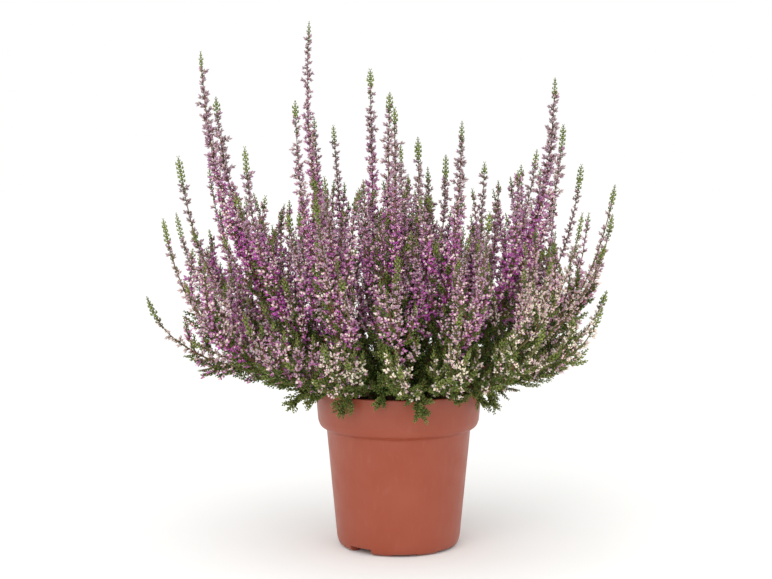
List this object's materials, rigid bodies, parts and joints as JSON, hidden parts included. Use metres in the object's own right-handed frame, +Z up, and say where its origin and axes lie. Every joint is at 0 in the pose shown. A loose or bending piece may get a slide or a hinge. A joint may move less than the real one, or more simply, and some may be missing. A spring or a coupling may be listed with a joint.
{
  "type": "potted heather",
  "caption": "Bushy pink-purple heather with upright and arching flower spikes over green scale-leaved shoots, growing in a round tapered plastic nursery pot with a deep collar.",
  "frame": {"origin": "on the pot's axis, on the surface that the pot stands on, under the middle of its base", "axes": "+Z up along the pot's axis; the plant spreads furthest along X; its shorter, more open side faces -Y"},
  "size_m": [0.3585, 0.2901, 0.391],
  "materials": {
    "pot_plastic": "satin, terracotta-coloured injection-moulded polypropylene",
    "peat": "matte, dark brown, crumbly and fibrous",
    "flowering_stem": "matte, mauve to purple buds, paler at the base, on brown and green stems",
    "leafy_shoot": "matte, mid green scale leaves on reddish-brown stems"
  },
  "bodies": {
    "root": {"pot": "pot_plastic", "peat": "peat", "arching_stem_01": "flowering_stem", "arching_stem_02": "flowering_stem", "arching_stem_03": "flowering_stem", "arching_stem_04": "flowering_stem", "arching_stem_05": "flowering_stem", "arching_stem_06": "flowering_stem", "arching_stem_07": "flowering_stem", "arching_stem_08": "flowering_stem", "arching_stem_09": "flowering_stem", "arching_stem_10": "flowering_stem", "arching_stem_11": "flowering_stem", "arching_stem_12": "flowering_stem", "arching_stem_13": "flowering_stem", "arching_stem_14": "flowering_stem", "arching_stem_15": "flowering_stem", "arching_stem_16": "flowering_stem", "leaning_stem_01": "flowering_stem", "leaning_stem_02": "flowering_stem", "leaning_stem_03": "flowering_stem", "leaning_stem_04": "flowering_stem", "leaning_stem_05": "flowering_stem", "leaning_stem_06": "flowering_stem", "leaning_stem_07": "flowering_stem", "leaning_stem_08": "flowering_stem", "leaning_stem_09": "flowering_stem", "leaning_stem_10": "flowering_stem", "leaning_stem_11": "flowering_stem", "leaning_stem_12": "flowering_stem", "tall_stem_01": "flowering_stem", "tall_stem_02": "flowering_stem", "tall_stem_03": "flowering_stem", "tall_stem_04": "flowering_stem", "tall_stem_05": "flowering_stem", "tall_stem_06": "flowering_stem", "tall_stem_07": "flowering_stem", "tall_stem_08": "flowering_stem", "tall_stem_09": "flowering_stem", "heart_stem_01": "flowering_stem", "heart_stem_02": "flowering_stem", "heart_stem_03": "flowering_stem", "heart_stem_04": "flowering_stem", "leafy_shoot_01": "leafy_shoot", "leafy_shoot_02": "leafy_shoot", "leafy_shoot_03": "leafy_shoot", "leafy_shoot_04": "leafy_shoot", "leafy_shoot_05": "leafy_shoot", "leafy_shoot_06": "leafy_shoot", "leafy_shoot_07": "leafy_shoot", "leafy_shoot_08": "leafy_shoot", "leafy_shoot_09": "leafy_shoot", "leafy_shoot_10": "leafy_shoot", "leafy_shoot_11": "leafy_shoot", "leafy_shoot_12": "leafy_shoot", "leafy_shoot_13": "leafy_shoot", "leafy_shoot_14": "leafy_shoot", "leafy_shoot_15": "leafy_shoot", "leafy_shoot_16": "leafy_shoot"}
  },
  "joints": []
}
